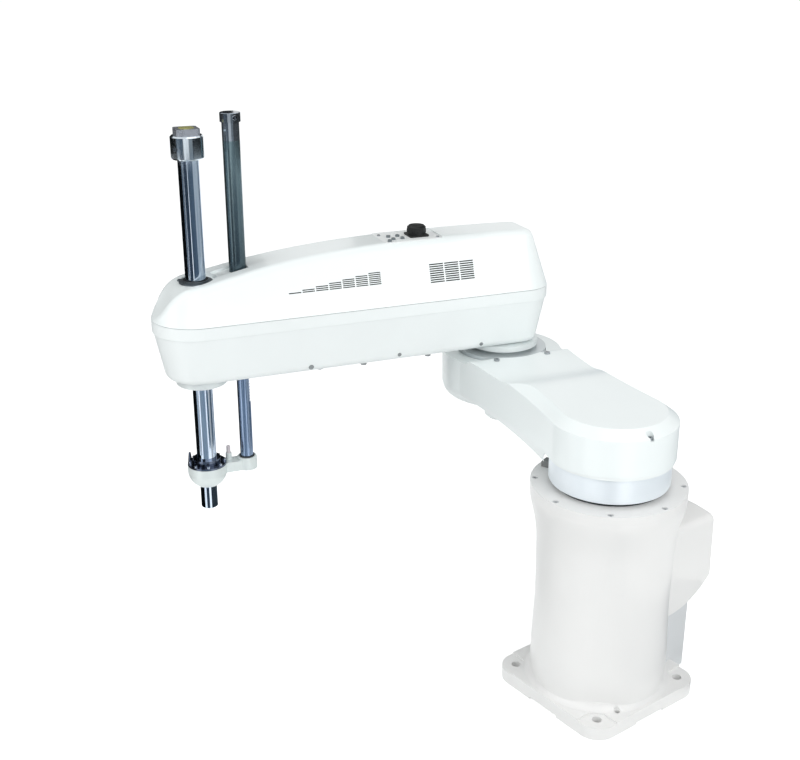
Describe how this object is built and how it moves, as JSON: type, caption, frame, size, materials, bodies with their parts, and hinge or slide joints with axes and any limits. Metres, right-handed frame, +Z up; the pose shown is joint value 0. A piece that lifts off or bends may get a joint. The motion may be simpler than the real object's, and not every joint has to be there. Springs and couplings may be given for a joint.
{
  "type": "scara robot",
  "caption": "SCARA robot: a pedestal base, horizontally swinging arms, and a vertical spline shaft that slides and turns at the nose, lifted by a rack rod in a guard tube.",
  "frame": {"origin": "on the first axis, at the underside of the base plate, centre of its bolt pattern", "axes": "+Z up along the first axis; +X the robot's front, away from the connector hump; plate edges parallel to X and Y"},
  "size_m": [0.6524, 0.6478, 0.831],
  "materials": {
    "base_paint": "satin warm white paint on a casting",
    "arm_paint": "satin cool white paint on a casting",
    "cover_white": "smooth semi-gloss white moulding",
    "panel_white": "fine satin",
    "sheet_metal": "light grey folded sheet",
    "plate_aluminium": "satin plate",
    "ring_aluminium": "fine turned, bluish",
    "bracket_aluminium": "fine machined",
    "collar_aluminium": "turned",
    "guide_aluminium": "machined",
    "pulley_aluminium": "hard anodised",
    "gear_steel": "ground steel",
    "screw_steel": "zinc plated",
    "screw_dark": "black oxide",
    "shaft_chrome": "polished hard chrome",
    "rod_dark": "slate blue satin coat",
    "block_black": "black anodised look",
    "stop_dark": "dark grey",
    "motor_black": "black",
    "connector_black": "black moulding",
    "seal_rubber": "black",
    "belt_rubber": "black",
    "bumper_rubber": "grey",
    "fitting_brass": "nickel plated brass",
    "fitting_grey": "grey",
    "plug_brass": "satin brass",
    "board_green": "lacquered board"
  },
  "bodies": {
    "base": {"base_casting": "base_paint", "base_flange_screws": "screw_steel", "rear_cable_chase": "sheet_metal", "rear_connector_plate": "plate_aluminium", "power_connector": "connector_black", "signal_connector": "connector_black", "base_air_ports": "fitting_brass", "rear_plate_screws": "screw_steel", "j1_reducer": "gear_steel", "j1_motor": "motor_black", "j1_seal": "seal_rubber", "calibration_stop": "stop_dark"},
    "first_arm": {"j1_output_hub": "gear_steel", "j1_turntable": "ring_aluminium", "arm1_casting": "arm_paint", "arm1_cover": "cover_white", "arm1_cover_screws": "screw_steel", "arm1_service_cap": "arm_paint", "j2_reducer": "gear_steel"},
    "second_arm": {"j2_output_ring": "ring_aluminium", "j2_motor": "motor_black", "arm2_casting": "arm_paint", "arm2_gasket": "seal_rubber", "arm2_cover": "cover_white", "top_panel": "panel_white", "panel_screws": "screw_steel", "round_connector": "connector_black", "panel_air_ports": "fitting_grey", "nose_collar": "ring_aluminium", "nut_bearing": "gear_steel", "timing_belt": "belt_rubber", "t_motor": "motor_black", "shaft_wiper": "seal_rubber", "rack_guide": "guide_aluminium", "z_motor": "motor_black", "rod_guard_tube": "rod_dark", "guard_tube_cap": "rod_dark", "underside_plugs": "fitting_grey", "edge_plugs": "screw_dark", "circuit_board": "board_green"},
    "nut_set": {"spline_nut": "gear_steel", "nut_pulley": "pulley_aluminium"},
    "motor_pulley": {"t_motor_pulley": "pulley_aluminium"},
    "pinion": {"z_pinion": "gear_steel"},
    "carriage": {"lift_bracket": "bracket_aluminium", "shaft_bearing": "gear_steel", "bearing_retainer": "bracket_aluminium", "retainer_screws": "screw_dark", "retainer_lug": "bracket_aluminium", "travel_bumper": "bumper_rubber", "rack_rod": "rod_dark", "rod_seat_ring": "seal_rubber"},
    "spindle": {"spline_shaft": "shaft_chrome", "top_collar": "collar_aluminium", "collar_screw": "screw_dark", "lock_collar": "seal_rubber", "top_block": "block_black", "shaft_plug": "plug_brass"}
  },
  "joints": [
    {"name": "j1_swing", "type": "hinge", "parent": "base", "child": "first_arm", "pos_m": [0, 0, 0.343], "axis": [0, 0, 1], "range_deg": [-59.65, 270.35]},
    {"name": "j2_swing", "type": "hinge", "parent": "first_arm", "child": "second_arm", "pos_m": [-0.09265, -0.33751, 0.4365], "axis": [0, 0, 1], "range_deg": [-233, 53]},
    {"name": "z_slide", "type": "slide", "parent": "second_arm", "child": "carriage", "axis": [0, 0, 1], "range_m": [-0.168, 0.112]},
    {"name": "shaft_turn", "type": "hinge", "parent": "carriage", "child": "spindle", "pos_m": [0.38951, -0.46987, 0.288], "axis": [0, 0, 1], "range_deg": [-360, 360]},
    {"name": "nut_turn", "type": "hinge", "parent": "second_arm", "child": "nut_set", "pos_m": [0.38951, -0.46987, 0.5], "axis": [0, 0, 1], "range_deg": [-360, 360]},
    {"name": "motor_pulley_turn", "type": "hinge", "parent": "second_arm", "child": "motor_pulley", "pos_m": [0.22558, -0.42487, 0.554], "axis": [0, 0, 1], "range_deg": [-383, 383]},
    {"name": "pinion_turn", "type": "hinge", "parent": "second_arm", "child": "pinion", "pos_m": [0.31044, -0.44816, 0.52], "axis": [-0.2647, -0.9643, 0], "range_deg": [-805, 537]}
  ],
  "couplings": [
    {"joint": "nut_turn", "follows": "shaft_turn", "ratio": 1},
    {"joint": "motor_pulley_turn", "follows": "shaft_turn", "ratio": 1.0625},
    {"joint": "pinion_turn", "follows": "z_slide", "rad_per_m": 83.333}
  ]
}
